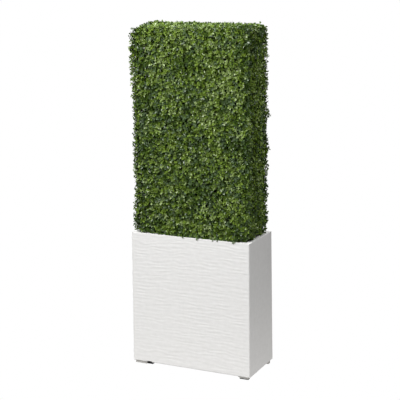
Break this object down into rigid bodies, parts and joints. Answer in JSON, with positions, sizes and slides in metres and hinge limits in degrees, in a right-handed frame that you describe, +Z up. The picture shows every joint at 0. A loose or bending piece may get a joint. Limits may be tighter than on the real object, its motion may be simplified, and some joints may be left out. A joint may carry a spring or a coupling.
{
  "type": "potted boxwood hedge",
  "caption": "Tall clipped boxwood hedge, cut to a flat-sided block, in a narrow white rectangular planter with a combed mortar face.",
  "frame": {"origin": "on the floor, under the middle of the planter", "axes": "+Z up; +X to the right along the long front face; the front face looks towards -Y"},
  "size_m": [0.566, 0.2639, 1.5037],
  "materials": {
    "mortar": "matte",
    "rubber": "matte",
    "soil": "matte",
    "bark": "matte",
    "foliage": "satin"
  },
  "bodies": {
    "root": {"planter": "mortar", "foot_front_left": "mortar", "foot_front_right": "mortar", "foot_back_left": "mortar", "foot_back_right": "mortar", "glide_front_left": "rubber", "glide_front_right": "rubber", "soil": "soil", "stem": "bark", "clipped_foliage": "foliage"}
  },
  "joints": []
}
